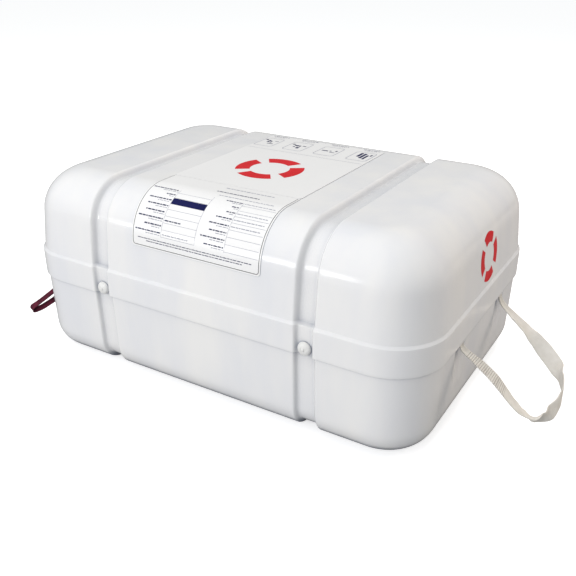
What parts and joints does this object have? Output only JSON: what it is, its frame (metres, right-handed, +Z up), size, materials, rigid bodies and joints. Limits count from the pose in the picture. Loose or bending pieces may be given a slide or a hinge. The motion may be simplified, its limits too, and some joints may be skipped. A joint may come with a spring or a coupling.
{
  "type": "liferaft canister",
  "caption": "White two-part liferaft canister with strap grooves, a bolted lap joint, printed labels, a webbing carry handle and a painter loop, holding its packed raft.",
  "frame": {"origin": "middle of the flat underside of the lower shell", "axes": "+X along the length towards the carry handle, -Y towards the labelled front, +Z up"},
  "size_m": [0.91, 0.4912, 0.3188],
  "materials": {
    "shell_gelcoat": "glossy white gelcoat on glass-fibre laminate",
    "nylon": "moulded white nylon",
    "steel": "stainless steel",
    "seal_rubber": "black rubber",
    "label_film": "printed white film",
    "handle_webbing": "undyed cream webbing",
    "painter_webbing": "dark red webbing",
    "painter_rope": "braided orange line",
    "raft_fabric": "coated orange fabric",
    "strap_webbing": "dark webbing",
    "bag_fabric": "coated yellow fabric",
    "cylinder_paint": "grey paint on steel",
    "valve_brass": "machined brass",
    "hose_rubber": "black rubber",
    "cradle_foam": "closed-cell foam"
  },
  "bodies": {
    "root": {"upper_shell": "shell_gelcoat", "lower_shell": "shell_gelcoat", "joint_seal": "seal_rubber", "bolt_front_left": "nylon", "bolt_front_right": "nylon", "bolt_back_left": "nylon", "bolt_back_right": "nylon", "washer_front_left": "steel", "washer_front_right": "steel", "washer_back_left": "steel", "washer_back_right": "steel", "nut_front_left": "nylon", "nut_front_right": "nylon", "nut_back_left": "nylon", "nut_back_right": "nylon", "data_label": "label_film", "instruction_label": "label_film", "carry_handle": "handle_webbing", "handle_anchor_front": "steel", "handle_anchor_back": "steel", "anchor_nut_front": "steel", "anchor_nut_back": "steel", "painter_gland": "seal_rubber", "painter_loop": "painter_webbing", "painter_hank": "painter_rope", "painter_lead": "painter_rope", "raft_pack": "raft_fabric", "pack_strap_left": "strap_webbing", "pack_strap_right": "strap_webbing", "gas_cylinder": "cylinder_paint", "cylinder_valve": "valve_brass", "inflation_hose": "hose_rubber", "cylinder_sleeve": "strap_webbing", "cylinder_cradle_left": "cradle_foam", "cylinder_cradle_right": "cradle_foam", "equipment_bag": "bag_fabric"}
  },
  "joints": []
}
